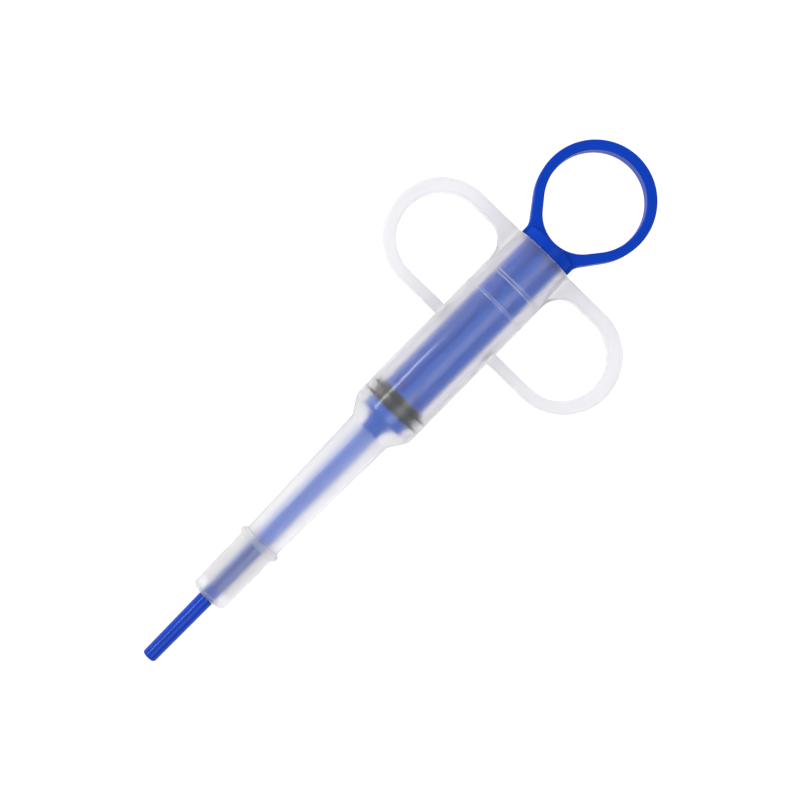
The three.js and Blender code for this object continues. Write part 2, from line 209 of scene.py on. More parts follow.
class StageSettings(PropertyGroup):
    camera_height: length("Camera height", "From the syringe's axis to the camera", 606.0)
    camera_along: length("Camera along", "From the syringe's middle to the camera, along its axis", 3.025)
    camera_across: length("Camera across", "From the syringe's axis to the camera, across it", 0.1)
    camera_turn: FloatProperty(
        name="Camera turn",
        description="How far the picture is turned about the line of sight",
        default=math.radians(-45.53),
        subtype="ANGLE",
        unit="ROTATION",
    )
    field_width: length("Field width", "Width of the picture at the axis", 228.6)
    facets: IntProperty(name="Facets", description="Facets around turned surfaces", default=128, min=16)
    table_reach: length("Table reach", "From the middle of the table top to its edges", 6000.0)
    table_gap: length("Table gap", "Gap left under the thumb ring when the plunger is turned", 1.0)


# -----------------------------------------------------------------------------
# Outlines
# -----------------------------------------------------------------------------


def softened(points, steps=4):
    """A polyline from (x, y, fillet) points: a corner with a fillet length is rounded by a short curve."""
    made = []
    for i, (x, y, fillet) in enumerate(points):
        here = Vector((x, y))
        if not fillet or i in (0, len(points) - 1):
            made.append(here)
            continue
        before = Vector(points[i - 1][:2]) - here
        after = Vector(points[i + 1][:2]) - here
        start = here + before.normalized() * min(fillet, before.length / 2)
        end = here + after.normalized() * min(fillet, after.length / 2)
        for k in range(steps + 1):
            t = k / steps
            made.append(start * (1 - t) ** 2 + here * 2 * t * (1 - t) + end * t**2)
    return made


def ellipse_arc(centre, along, across, first, last, steps):
    """Points on an ellipse about centre, from one angle to another in degrees."""
    angles = [math.radians(first + (last - first) * k / steps) for k in range(steps + 1)]
    return [Vector((centre[0] + along * math.cos(a), centre[1] + across * math.sin(a))) for a in angles]


def circle_arc(centre, radius, first, last, steps=40):
    return ellipse_arc(centre, radius, radius, first, last, steps)


# -----------------------------------------------------------------------------
# Geometry Nodes
# -----------------------------------------------------------------------------


class Tree:
    """A node tree under construction: add a node, set its inputs, and link them."""

    def __init__(self, tree):
        self.tree = tree

    def node(self, kind, inputs=None, **settings):
        made = self.tree.nodes.new(kind)
        for name, value in settings.items():
            setattr(made, name, value)
        for key, value in (inputs or {}).items():
            if isinstance(value, bpy.types.NodeSocket):
                self.tree.links.new(value, made.inputs[key])
            else:
                made.inputs[key].default_value = value
        return made

    def link(self, source, target):
        self.tree.links.new(source, target)


def geometry_tree(name, sockets):
    """A new geometry tree with a geometry in and out and the given named inputs, and its input node."""
    group = bpy.data.node_groups.new(name, "GeometryNodeTree")
    face = group.interface
    face.new_socket("Geometry", in_out="INPUT", socket_type="NodeSocketGeometry")
    for label, kind in sockets:
        face.new_socket(label, in_out="INPUT", socket_type=kind)
    face.new_socket("Geometry", in_out="OUTPUT", socket_type="NodeSocketGeometry")
    tree = Tree(group)
    return tree, tree.node("NodeGroupInput").outputs


def close_tree(tree, geometry, material):
    """Ends a tree in Realize Instances and Set Material."""
    plain = tree.node("GeometryNodeRealizeInstances", {"Geometry": geometry}).outputs["Geometry"]
    painted = tree.node("GeometryNodeSetMaterial", {"Geometry": plain, "Material": material})
    tree.link(painted.outputs["Geometry"], tree.node("NodeGroupOutput").inputs["Geometry"])
    return tree.tree


def turned_section_tree():
    """Turns a section, drawn as a chain of points at (x, 0, radius), once around the syringe's axis."""
    tree, given = geometry_tree(
        "Turned section",
        [
            ("Facets", "NodeSocketInt"),
            ("Axis height", "NodeSocketFloat"),
            ("Weld", "NodeSocketFloat"),
            ("Material", "NodeSocketMaterial"),
        ],
    )

    def whole(operation, a, b):
        return tree.node("FunctionNodeIntegerMath", {0: a, 1: b}, operation=operation).outputs[0]

    def maths(operation, a, b=0.0):
        return tree.node("ShaderNodeMath", {0: a, 1: b}, operation=operation).outputs[0]

    points = tree.node("GeometryNodeAttributeDomainSize", {"Geometry": given["Geometry"]})
    columns = whole("ADD", given["Facets"], 1)
    sheet = tree.node(
        "GeometryNodeMeshGrid", {"Vertices X": points.outputs["Point Count"], "Vertices Y": columns}
    )
    index = tree.node("GeometryNodeInputIndex").outputs[0]
    on_section = tree.node(
        "GeometryNodeSampleIndex",
        {
            "Geometry": given["Geometry"],
            "Value": tree.node("GeometryNodeInputPosition").outputs[0],
            "Index": whole("DIVIDE_FLOOR", index, columns),
        },
        data_type="FLOAT_VECTOR",
        domain="POINT",
    )
    section = tree.node("ShaderNodeSeparateXYZ", {0: on_section.outputs["Value"]}).outputs
    step = maths("DIVIDE", 2 * math.pi, given["Facets"])
    angle = maths("MULTIPLY", whole("MODULO", index, columns), step)
    aside = maths("MULTIPLY", section["Z"], maths("SINE", angle))
    above = maths("MULTIPLY", section["Z"], maths("COSINE", angle))
    place = tree.node(
        "ShaderNodeCombineXYZ",
        {"X": section["X"], "Y": aside, "Z": maths("ADD", above, given["Axis height"])},
    )
    turned = tree.node(
        "GeometryNodeSetPosition", {"Geometry": sheet.outputs["Mesh"], "Position": place.outputs[0]}
    )
    welded = tree.node(
        "GeometryNodeMergeByDistance", {"Geometry": turned.outputs["Geometry"], "Distance": given["Weld"]}
    )
    return close_tree(tree, welded.outputs["Geometry"], given["Material"])


def spaced_ribs_tree():
    """Repeats one rib, drawn above the axis, at equal angles around the syringe's axis."""
    tree, given = geometry_tree(
        "Ribs around the shaft",
        [
            ("Ribs", "NodeSocketInt"),
            ("Axis height", "NodeSocketFloat"),
            ("Material", "NodeSocketMaterial"),
        ],
    )
    index = tree.node("GeometryNodeInputIndex").outputs[0]
    step = tree.node("ShaderNodeMath", {0: 2 * math.pi, 1: given["Ribs"]}, operation="DIVIDE").outputs[0]
    angle = tree.node("ShaderNodeMath", {0: index, 1: step}, operation="MULTIPLY").outputs[0]
    turn = tree.node("ShaderNodeCombineXYZ", {"X": angle}).outputs[0]
    centre = tree.node("ShaderNodeCombineXYZ", {"Z": given["Axis height"]}).outputs[0]
    points = tree.node("GeometryNodePoints", {"Count": given["Ribs"], "Position": centre}).outputs[0]
    ribs = tree.node(
        "GeometryNodeInstanceOnPoints",
        {"Points": points, "Instance": given["Geometry"], "Rotation": turn},
    )
    return close_tree(tree, ribs.outputs["Instances"], given["Material"])


def linked(name, mesh):
    made = bpy.data.objects.new(name, mesh)
    bpy.context.scene.collection.objects.link(made)
    return made


def discard(thing):
    mesh = thing.data
    bpy.data.objects.remove(thing)
    if not mesh.users:
        bpy.data.meshes.remove(mesh)


def baked(source, name):
    """A plain mesh object of what source looks like with its modifiers; source itself is discarded."""
    depsgraph = bpy.context.evaluated_depsgraph_get()
    mesh = bpy.data.meshes.new_from_object(source.evaluated_get(depsgraph), depsgraph=depsgraph)
    discard(source)
    mesh.name = name
    return linked(name, mesh)


def through_tree(source, tree, name, values):
    """source's geometry after a node tree with the given named inputs, as a plain mesh object."""
    modifier = source.modifiers.new(tree.name, "NODES")
    modifier.node_group = tree
    for item in tree.interface.items_tree:
        if item.in_out == "INPUT" and item.name in values:
            modifier[item.identifier] = values[item.name]
    return baked(source, name)


# -----------------------------------------------------------------------------
# Solids
# -----------------------------------------------------------------------------


def facing_out(piece):
    """Welds a closed mesh and turns it so that its faces point outwards."""
    work = bmesh.new()
    work.from_mesh(piece.data)
    bmesh.ops.remove_doubles(work, verts=work.verts, dist=WELD)
    bmesh.ops.dissolve_degenerate(work, edges=work.edges, dist=WELD)
    bmesh.ops.recalc_face_normals(work, faces=work.faces)
    if work.calc_volume(signed=True) < 0:
        bmesh.ops.reverse_faces(work, faces=work.faces)
    work.to_mesh(piece.data)
    work.free()
    return piece


def turned(name, section, material):
    """A solid of revolution about the syringe's axis from (x, radius) points."""
    mesh = bpy.data.meshes.new(name)
    edges = [(i, i + 1) for i in range(len(section) - 1)]
    mesh.from_pydata([(x, 0.0, radius) for x, radius in section], edges, [])
    tree = bpy.data.node_groups.get("Turned section") or turned_section_tree()
    facets = bpy.context.scene.syringe_stage.facets
    values = {"Facets": facets, "Axis height": AXIS_HEIGHT, "Weld": WELD, "Material": material}
    return facing_out(through_tree(linked(name, mesh), tree, name, values))


def slab(name, outlines, depth, rounding, material, height=AXIS_HEIGHT):
    """A level plate with rounded long edges; outlines after the first are holes."""
    curve = bpy.data.curves.new(name, "CURVE")
    curve.dimensions = "2D"
    curve.fill_mode = "BOTH"
    curve.extrude = depth / 2 - rounding
    curve.bevel_depth = rounding
    curve.bevel_resolution = 5
    curve.offset = -rounding
    for outline in outlines:
        spline = curve.splines.new("POLY")
        spline.points.add(len(outline) - 1)
        for point, place in zip(spline.points, outline):
            point.co = (place[0], place[1], 0.0, 1.0)
        spline.use_cyclic_u = True
    source = linked(name, curve)
    depsgraph = bpy.context.evaluated_depsgraph_get()
    mesh = bpy.data.meshes.new_from_object(source.evaluated_get(depsgraph), depsgraph=depsgraph)
    bpy.data.objects.remove(source)
    bpy.data.curves.remove(curve)
    for vertex in mesh.vertices:
        vertex.co.z += height
    mesh.materials.clear()
    mesh.materials.append(material)
    return facing_out(linked(name, mesh))


def combined(base, other, operation, own_crossings=False):
    """base joined with, or cut by, the other solid, which is used up."""
    modifier = base.modifiers.new(operation, "BOOLEAN")
    modifier.operation = operation
    modifier.solver = "EXACT"
    modifier.use_self = own_crossings
    modifier.object = other
    name = base.name
    result = baked(base, name)
    discard(other)
    result.name = name
    return facing_out(result)


def check_closed(piece):
    """Stops the build if a piece is empty or has an open edge."""
    work = bmesh.new()
    work.from_mesh(piece.data)
    faults = sum(not edge.is_manifold for edge in work.edges)
    work.free()
    if faults or not piece.data.polygons:
        raise RuntimeError(f"{piece.name} isn't closed: {faults} open edges")


def finished(piece, name, node, body, smooth_under=32.0):
    """Names a piece, sets its shading, and ties it to the frame."""
    check_closed(piece)
    piece.name = name
    piece.data.name = name
    piece.data.shade_smooth()
    piece.data.set_sharp_from_angle(angle=math.radians(smooth_under))
    modifier = piece.modifiers.new("flat faces stay flat", "WEIGHTED_NORMAL")
    modifier.keep_sharp = True
    piece = baked(piece, name)
    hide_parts(node)
    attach(piece, body)
    return piece


# -----------------------------------------------------------------------------
# Materials
# -----------------------------------------------------------------------------


def new_material(name):
    """A material with an empty Principled shader, as its tree, the shader and object coordinates."""
    material = bpy.data.materials.new(name)
    material.use_nodes = True
    material.node_tree.nodes.clear()
    tree = Tree(material.node_tree)
    shader = tree.node("ShaderNodeBsdfPrincipled")
    output = tree.node("ShaderNodeOutputMaterial")
    tree.link(shader.outputs["BSDF"], output.inputs["Surface"])
    place = tree.node("ShaderNodeTexCoord").outputs["Object"]
    return material, tree, shader, place


def noise(tree, place, scale, detail, stretch=(1.0, 1.0, 1.0)):
    """Noise with about scale cells to the metre; a stretch under 1 draws its grain out along that axis."""
    place = tree.node("ShaderNodeMapping", {"Vector": place, "Scale": stretch}).outputs["Vector"]
    made = tree.node("ShaderNodeTexNoise", {"Vector": place, "Scale": scale, "Detail": detail})
    return made.outputs["Fac"]


def between(tree, factor, low, high):
    """A noise value spread over the range from low to high."""
    spread = {"Value": factor, "From Min": NOISE_LOW, "From Max": NOISE_HIGH, "To Min": low, "To Max": high}
    return tree.node("ShaderNodeMapRange", spread).outputs["Result"]


def tinted(tree, factor, first, second):
    """A colour from first to second, as a noise value has it."""
    ramp = tree.node("ShaderNodeValToRGB", {"Fac": factor})
    start, end = ramp.color_ramp.elements
    start.position, end.position = NOISE_LOW, NOISE_HIGH
    start.color, end.color = (*first, 1.0), (*second, 1.0)
    return ramp.outputs["Color"]


def grained(tree, shader, grain, strength):
    """Gives the shader's surface a fine grain."""
    inputs = {"Height": grain, "Strength": strength, "Distance": GRAIN_DEPTH}
    tree.link(tree.node("ShaderNodeBump", inputs).outputs["Normal"], shader.inputs["Normal"])


def along_axis(tree, place, start, end):
    """0 up to start and 1 from end on, measured along the syringe's axis."""
    x = tree.node("ShaderNodeSeparateXYZ", {0: place}).outputs["X"]
    made = tree.node("ShaderNodeMapRange", {"Value": x, "From Min": start, "From Max": end})
    return made.outputs["Result"]


def aside(tree, place, start, end):
    """0 within start of the plane through the axis and 1 beyond end, measured across the syringe."""
    y = tree.node("ShaderNodeSeparateXYZ", {0: place}).outputs["Y"]
    away = tree.node("ShaderNodeMath", {0: y}, operation="ABSOLUTE").outputs[0]
    made = tree.node("ShaderNodeMapRange", {"Value": away, "From Min": start, "From Max": end})
    return made.outputs["Result"]


def ring_pair(tree, place, centre, apart):
    """1 on two fine rings around the barrel, the given distance apart, and 0 elsewhere."""
    x = tree.node("ShaderNodeSeparateXYZ", {0: place}).outputs["X"]
    off = tree.node("ShaderNodeMath", {0: x, 1: centre}, operation="SUBTRACT").outputs[0]
    away = tree.node("ShaderNodeMath", {0: off}, operation="ABSOLUTE").outputs[0]
    off = tree.node("ShaderNodeMath", {0: away, 1: apart / 2}, operation="SUBTRACT").outputs[0]
    away = tree.node("ShaderNodeMath", {0: off}, operation="ABSOLUTE").outputs[0]
    core, edge = 0.05 * MM, 0.14 * MM
    fade = {"Value": away, "From Min": core, "From Max": edge, "To Min": 1.0, "To Max": 0.0}
    return tree.node("ShaderNodeMapRange", fade).outputs["Result"]


def blended(tree, factor, first, second):
    """first where factor is 0, second where it is 1; both may be values or sockets."""
    inputs = {"Factor": factor, "A": first, "B": second}
    return tree.node("ShaderNodeMix", inputs).outputs["Result"]


def blended_colour(tree, factor, first, second):
    """The same for colours, which are sockets."""
    made = tree.node("ShaderNodeMix", data_type="RGBA")
    tree.link(factor, made.inputs[0])
    tree.link(first, made.inputs[6])
    tree.link(second, made.inputs[7])
    return made.outputs[2]


def scaled(rgb, factor):
    """A colour made lighter or darker, kept within what a surface can give back."""
    return tuple(min(1.0, channel * factor) for channel in rgb)


def frosted_polypropylene():
    """Clearest in the tube, hazier in the nozzle and along the two moulded lines, milkiest in the loops."""
    barrel = bpy.context.scene.syringe_barrel
    base = tuple(bpy.context.scene.syringe_finish.barrel)
    thick = tuple(bpy.context.scene.syringe_finish.thick_barrel)
    material, tree, shader, place = new_material("frosted_polypropylene")
    cloud = noise(tree, place, 90.0, 4.0, (0.5, 1.0, 1.0))
    grain = noise(tree, place, 2600.0, 2.0)
    flow = noise(tree, place, 240.0, 3.0, (0.12, 1.0, 1.0))
    shoulder_front = RIM_X - barrel.parallel - barrel.shoulder
    onto_nozzle = along_axis(tree, place, TIP_REAR_X - 0.2 * MM, TIP_REAR_X)
    onto_barrel = along_axis(tree, place, shoulder_front - 0.8 * MM, shoulder_front)

    tube = tinted(tree, cloud, scaled(base, 0.985), scaled(base, 1.02))
    root = tinted(tree, cloud, scaled(thick, 0.96), scaled(thick, 0.99))
    loops = tinted(tree, cloud, scaled(thick, 1.09), scaled(thick, 1.13))
    plate = blended_colour(tree, aside(tree, place, *LOOP_ENDS), root, loops)
    tint = blended_colour(tree, aside(tree, place, *LOOP_ROOTS), tube, plate)
    tree.link(tint, shader.inputs["Base Color"])

    coarse = between(tree, flow, 0.53, 0.57)
    fine = between(tree, flow, 0.31, 0.34)
    frost = blended(tree, onto_barrel, coarse, fine)
    polished = 0.18
    tree.link(blended(tree, onto_nozzle, polished, frost), shader.inputs["Roughness"])

    bead_middle = RIM_X - barrel.bead_to_rim - barrel.bead_width / 2
    bead = ring_pair(tree, place, bead_middle, barrel.bead_width)
    witness = ring_pair(tree, place, RIM_X - barrel.witness_to_rim, 0.7 * MM)
    at_spigot, at_nozzle, at_parallel = 0.99, 0.91, 0.97
    at_edge, at_plates, at_witness, at_bead = 0.70, 0.76, 0.70, 0.60
    clear = blended(tree, onto_nozzle, at_spigot, blended(tree, onto_barrel, at_nozzle, at_parallel))
    clear = blended(tree, aside(tree, place, *TUBE_EDGE), clear, at_edge)
    clear = blended(tree, aside(tree, place, *LOOP_PLATES), clear, at_plates)
    clear = blended(tree, witness, clear, at_witness)
    clear = blended(tree, bead, clear, at_bead)
    tree.link(clear, shader.inputs["Transmission Weight"])
    shader.inputs["IOR"].default_value = 1.35
    shader.inputs["Coat Weight"].default_value = 0.3
    shader.inputs["Coat Roughness"].default_value = 0.03
    shader.inputs["Coat IOR"].default_value = 1.5
    grained(tree, shader, grain, 0.02)
    return material


def milky_silicone():
    """Soft and hazy, and a little denser in the rear bead."""
    base = tuple(bpy.context.scene.syringe_finish.tip)
    material, tree, shader, place = new_material("milky_silicone")
    cloud = noise(tree, place, 160.0, 4.0)
    grain = noise(tree, place, 3200.0, 2.0)
    tree.link(tinted(tree, cloud, scaled(base, 0.975), scaled(base, 1.02)), shader.inputs["Base Color"])
    tree.link(between(tree, cloud, 0.44, 0.50), shader.inputs["Roughness"])
    onto_bead = along_axis(tree, place, TIP_REAR_X - 2.8 * MM, TIP_REAR_X - 2.0 * MM)
    at_sleeve, at_bead = 0.95, 0.86
    tree.link(blended(tree, onto_bead, at_sleeve, at_bead), shader.inputs["Transmission Weight"])
    shader.inputs["IOR"].default_value = 1.33
    shader.inputs["Coat Weight"].default_value = 0.15
    shader.inputs["Coat Roughness"].default_value = 0.3
    grained(tree, shader, grain, 0.08)
    return material


def seal_rubber():
    """Dark matt rubber with a fine grain."""
    base = tuple(bpy.context.scene.syringe_finish.seal)
    material, tree, shader, place = new_material("seal_rubber")
    cloud = noise(tree, place, 420.0, 4.0)
    grain = noise(tree, place, 5200.0, 3.0)
    tree.link(tinted(tree, cloud, scaled(base, 0.82), scaled(base, 1.25)), shader.inputs["Base Color"])
    tree.link(between(tree, grain, 0.46, 0.62), shader.inputs["Roughness"])
    grained(tree, shader, grain, 0.2)
    return material


def blue_polypropylene():
    """Deep blue at the rod's bare end and in the ring; inside the tip and barrel a lighter blue is painted
    on as painted light; glossy rod and shaft, matt ring.
    """
    base = tuple(bpy.context.scene.syringe_finish.plunger)
    painted_lit_blue = tuple(bpy.context.scene.syringe_finish.painted_lit_plunger)
    material, tree, shader, place = new_material("blue_polypropylene")
    cloud = noise(tree, place, 70.0, 4.0, (0.5, 1.0, 1.0))
    flow = noise(tree, place, 320.0, 3.0, (0.1, 1.0, 1.0))
    grain = noise(tree, place, 3000.0, 2.0)
    behind_end = along_axis(tree, place, TIP_FRONT_X, TIP_FRONT_X + 8.0 * MM)
    onto_ring = along_axis(tree, place, RIM_X - 2.0 * MM, RIM_X + 0.5 * MM)

    # Painted light: the lighter blue inside the tip and barrel, fading to the deep blue at the rod's bare
    # end and at the rim.
    light = tinted(tree, cloud, scaled(painted_lit_blue, 0.94), scaled(painted_lit_blue, 1.04))
    deep = tinted(tree, cloud, scaled(base, 0.94), scaled(base, 1.06))
    rod = blended_colour(tree, behind_end, deep, light)
    tree.link(blended_colour(tree, onto_ring, rod, deep), shader.inputs["Base Color"])

    polished = between(tree, flow, 0.22, 0.28)
    matt = between(tree, cloud, 0.42, 0.50)
    tree.link(blended(tree, onto_ring, polished, matt), shader.inputs["Roughness"])
    rod_coat, ring_coat = 0.42, 0.10
    tree.link(blended(tree, onto_ring, rod_coat, ring_coat), shader.inputs["Coat Weight"])
    shader.inputs["Coat Roughness"].default_value = 0.20
    shader.inputs["IOR"].default_value = 1.49
    shader.inputs["Specular IOR Level"].default_value = 0.03
    grained(tree, shader, grain, 0.015)
    return material


def pale_table():
    """Matt, and lit from within, so that it shows white and takes no hard shadow."""
    base = tuple(bpy.context.scene.syringe_finish.floor)
    material, tree, shader, place = new_material("pale_table")
    cloud = noise(tree, place, 3.0, 3.0)
    tree.link(tinted(tree, cloud, scaled(base, 0.995), base), shader.inputs["Base Color"])
    shader.inputs["Roughness"].default_value = 0.9
    shader.inputs["Specular IOR Level"].default_value = 0.0
    shader.inputs["Emission Color"].default_value = (1.0, 1.0, 1.0, 1.0)
    shader.inputs["Emission Strength"].default_value = 0.88
    return material


# -----------------------------------------------------------------------------
# Pieces
# -----------------------------------------------------------------------------


def barrel_outside(s):
    """The barrel's outside from the spigot to the rim, as a section down to the axis."""
    shoulder_rear = RIM_X - s.parallel
    shoulder_front = shoulder_rear - s.shoulder
    nozzle_front = TIP_REAR_X + SEAT_GAP
    witness = RIM_X - s.witness_to_rim
    spigot = s.spigot_bore + s.spigot_wall
    return softened(
        [
            (SPIGOT_FRONT_X, 0.0, 0),
            (SPIGOT_FRONT_X, spigot, s.rim_rounding),
            (nozzle_front, spigot, 0),
            (nozzle_front, s.nozzle_front, s.nozzle_edge),
            (shoulder_front, s.nozzle_rear, s.nozzle_rounding),
            (shoulder_rear, s.radius, s.shoulder_rounding),
            (witness - s.witness_foot, s.radius, 0),
            (witness - s.witness_crest, s.radius + s.witness_height, s.witness_rounding),
            (witness + s.witness_crest, s.radius + s.witness_height, s.witness_rounding),
            (witness + s.witness_foot, s.radius, 0),
            (RIM_X, s.radius, s.rim_rounding),
            (RIM_X, 0.0, 0),
        ]
    )


def barrel_inside(s):
    """The bore as a section down to the axis, running past both of the barrel's ends to cut them open."""
    rise = s.radius - s.nozzle_rear
    slant = math.hypot(rise, s.shoulder)
    shoulder_front = RIM_X - s.parallel - s.shoulder
    at_front = s.nozzle_rear - s.wall * slant / s.shoulder
    bore = s.radius - s.wall
    nozzle_rear_bore = s.nozzle_rear - s.nozzle_rear_wall

    def shoulder_x(radius):
        return shoulder_front + (radius - at_front) * s.shoulder / rise

    bead_front = RIM_X - s.bead_to_rim - s.bead_width
    bead_rear = bead_front + s.bead_width
    past = 1.0 * MM
    spigot_blend, nozzle_blend, shoulder_blend = 1.0 * MM, 0.6 * MM, 1.0 * MM
    return softened(
        [
            (SPIGOT_FRONT_X - past, 0.0, 0),
            (SPIGOT_FRONT_X - past, s.spigot_bore, 0),
            (TIP_REAR_X, s.spigot_bore, spigot_blend),
            (shoulder_x(nozzle_rear_bore), nozzle_rear_bore, nozzle_blend),
            (shoulder_x(bore), bore, shoulder_blend),
            (bead_front, bore, 0),
            (bead_front + s.bead_height, bore - s.bead_height, s.bead_rounding),
            (bead_rear - s.bead_height, bore - s.bead_height, s.bead_rounding),
            (bead_rear, bore, 0),
            (RIM_X - s.mouth_chamfer, bore, 0),
            (RIM_X, bore + s.mouth_chamfer, 0),
            (RIM_X + past, bore + s.mouth_chamfer, 0),
            (RIM_X + past, 0.0, 0),
        ]
    )


def finger_hole(s, side):
    """The outline of one finger hole, which reaches into the barrel's wall but not into its bore."""
    front = RIM_X - s.loops_length + s.front_leg
    rear = RIM_X - s.rear_leg
    radius = (rear - front) / 2
    end_centre = LOOPS_SPAN / 2 - s.end_wall - radius
    root = (rear - s.root_fillet, s.radius + s.root_fillet)
    into_wall = 0.7
    inside = s.radius - s.wall * into_wall
    outline = circle_arc(((front + rear) / 2, end_centre), radius, 180, 0)
    outline += circle_arc(root, s.root_fillet, 0, -90, 16)
    outline += [Vector((root[0] - s.root_fillet, inside)), Vector((front, inside))]
    return [Vector((p.x, side * p.y)) for p in outline]


def finger_loops(s, material):
    radius = s.loops_length / 2
    middle = RIM_X - radius
    end_centre = LOOPS_SPAN / 2 - radius
    plate = circle_arc((middle, end_centre), radius, 0, 180)
    plate += circle_arc((middle, -end_centre), radius, 180, 360)
    outlines = [plate, finger_hole(s, 1), finger_hole(s, -1)]
    return slab("finger_loops", outlines, s.loops_depth, s.loops_rounding, material)


def make_barrel(s):
    material = frosted_polypropylene()
    body = turned("barrel_body", barrel_outside(s), material)
    body = combined(body, finger_loops(s, material), "UNION")
    body = combined(body, turned("bore", barrel_inside(s), material), "DIFFERENCE")
    return finished(body, "barrel_moulding", "barrel", "barrel")


def make_soft_tip(s, barrel):
    socket = barrel.spigot_bore + barrel.spigot_wall + PUSH_FIT
    pocket_rear = SPIGOT_FRONT_X - SEAT_GAP
    pocket = barrel.spigot_bore
    lip_rear = TIP_FRONT_X + s.lip
    front = (TIP_FRONT_X + s.front_along, s.radius - s.front_across)
    bead = (TIP_REAR_X - s.bead_width / 2, s.radius)
    section = [Vector((TIP_FRONT_X, s.mouth + s.chamfer))]
    section += ellipse_arc(front, s.front_along, s.front_across, 180, 90, 10)
    section += ellipse_arc(bead, s.bead_width / 2, s.bead_height, 172, 8, 16)
    section += softened(
        [
            (TIP_REAR_X, s.radius, 0),
            (TIP_REAR_X, socket + s.chamfer, 0),
            (TIP_REAR_X - s.chamfer, socket, 0),
            (pocket_rear, socket, 0),
            (pocket_rear, pocket, s.inner_rounding),
            (lip_rear, pocket, s.lip_rounding),
            (lip_rear, s.mouth, s.inner_rounding),
            (TIP_FRONT_X + s.chamfer, s.mouth, 0),
            (TIP_FRONT_X, s.mouth + s.chamfer, 0),
        ]
    )
    piece = turned("soft_tip_sleeve", section, milky_silicone())
    return finished(piece, "soft_tip_sleeve", "soft_tip", "soft_tip")


def seal_lip(s, x, crest):
    """The section of one lip, with the middle of its crest at x."""
    return [
        (x - s.lip_width / 2 - s.lip_slope, s.body_radius, 0),
        (x - s.lip_width / 2, crest, s.lip_rounding),
        (x + s.lip_width / 2, crest, s.lip_rounding),
        (x + s.lip_width / 2 + s.lip_slope, s.body_radius, 0),
    ]


def make_piston_seal(s, barrel):
    crest = barrel.radius - barrel.wall + s.lip_squeeze
    section = softened(
        [
            (SEAL_FRONT_X, s.inner_radius, 0),
            (SEAL_FRONT_X, s.body_radius, 0),
            *seal_lip(s, SEAL_FRONT_X + s.lip_to_front, crest),
            *seal_lip(s, SEAL_REAR_X - s.lip_to_rear, crest),
            (SEAL_REAR_X, s.body_radius, 0),
            (SEAL_REAR_X, s.inner_radius, 0),
            (SEAL_FRONT_X, s.inner_radius, 0),
        ]
    )
    piece = turned("piston_seal_ring", section, seal_rubber())
    return finished(piece, "piston_seal_ring", "piston_seal", "piston_seal")


def rod_and_piston(s):
    """The section of the push rod, its nose and the two piston discs, and where the piston ends."""
    groove_front = SEAL_FRONT_X - s.groove_play
    groove_rear = SEAL_REAR_X + s.groove_play
    piston_front = groove_front - s.front_disc
    piston_rear = groove_rear + s.rear_disc
    nose_front = piston_front - s.nose
    rod_rear = s.rod_tip + s.rod_draft * (nose_front - ROD_TIP_X)
    flare = s.nose_radius - rod_rear
    section = [Vector((ROD_TIP_X, 0.0))]
    end_centre = (ROD_TIP_X + s.rod_rounding, s.rod_tip - s.rod_rounding)
    section += circle_arc(end_centre, s.rod_rounding, 180, 90, 8)
    section += ellipse_arc((nose_front, s.nose_radius), s.nose, flare, -90, 0, 12)
    section += softened(
        [
            (piston_front, s.nose_radius, 0),
            (piston_front, s.disc_radius, s.disc_rounding),
            (groove_front, s.disc_radius, s.groove_rounding),
            (groove_front, s.groove_radius, 0),
            (groove_rear, s.groove_radius, 0),
            (groove_rear, s.disc_radius, s.groove_rounding),
            (piston_rear, s.disc_radius, s.disc_rounding),
            (piston_rear, 0.0, 0),
        ]
    )
    return section, piston_rear


def shaft_ribs(s, front, rear, material):
    """One rib, standing in the plane of the ring, repeated around the axis."""
    outline = [(front, 0.0), (rear, 0.0), (rear, s.rib_reach), (front, s.rib_reach)]
    rib = slab("rib", [outline], s.rib_thickness, s.rib_rounding, material, height=0.0)
    tree = bpy.data.node_groups.get("Ribs around the shaft") or spaced_ribs_tree()
    values = {"Ribs": s.ribs, "Axis height": AXIS_HEIGHT, "Material": material}
    return through_tree(rib, tree, "shaft_ribs", values)


def thumb_hole_front(s):
    return RING_END_X - s.ring_wall - s.hole_radius - s.hole_stretch - s.hole_neck_radius


def stop_flange(s):
    """The section of the round flange that stops at the barrel's rim."""
    front = RIM_X + s.flange_gap
    rear = thumb_hole_front(s) - s.flange_to_hole
    return softened(
        [
            (front, 0.0, 0),
            (front, s.flange_radius, s.flange_front_edge),
            (rear, s.flange_radius, s.flange_rear_edge),
            (rear, 0.0, 0),
        ]
    )


def thumb_ring(s, material):
    """The ring and its neck: straight sides run from neck to ring, and the hole is egg-shaped."""
    outer = s.hole_radius + s.ring_wall
    centre = RING_END_X - outer
    neck_front = RIM_X + s.flange_gap + s.flange_front_edge
    neck_rear = RIM_X + s.neck
    to_corner = math.hypot(centre - neck_rear, s.flange_radius)
    slope = math.asin(outer / to_corner) - math.asin(s.flange_radius / to_corner)
    touch = math.degrees(slope) + 90
    corner = Vector((neck_rear, s.flange_radius))
    onto_ring = corner + Vector((math.cos(slope), math.sin(slope))) * s.neck_fillet * 3
    side = softened(
        [(neck_front, s.flange_radius, 0), (*corner, s.neck_fillet), (*onto_ring, 0)],
        steps=8,
    )
    outline = circle_arc((centre, 0.0), outer, -touch, touch, 96)
    outline += list(reversed(side)) + [Vector((p.x, -p.y)) for p in side]
    tangent = 180 - math.degrees(math.acos((s.hole_radius - s.hole_neck_radius) / s.hole_stretch))
    hole = circle_arc((centre, 0.0), s.hole_radius, -tangent, tangent, 96)
    hole += circle_arc((centre - s.hole_stretch, 0.0), s.hole_neck_radius, tangent, 360 - tangent, 32)
    return slab("thumb_ring", [outline, hole], s.ring_depth, s.ring_rounding, material)


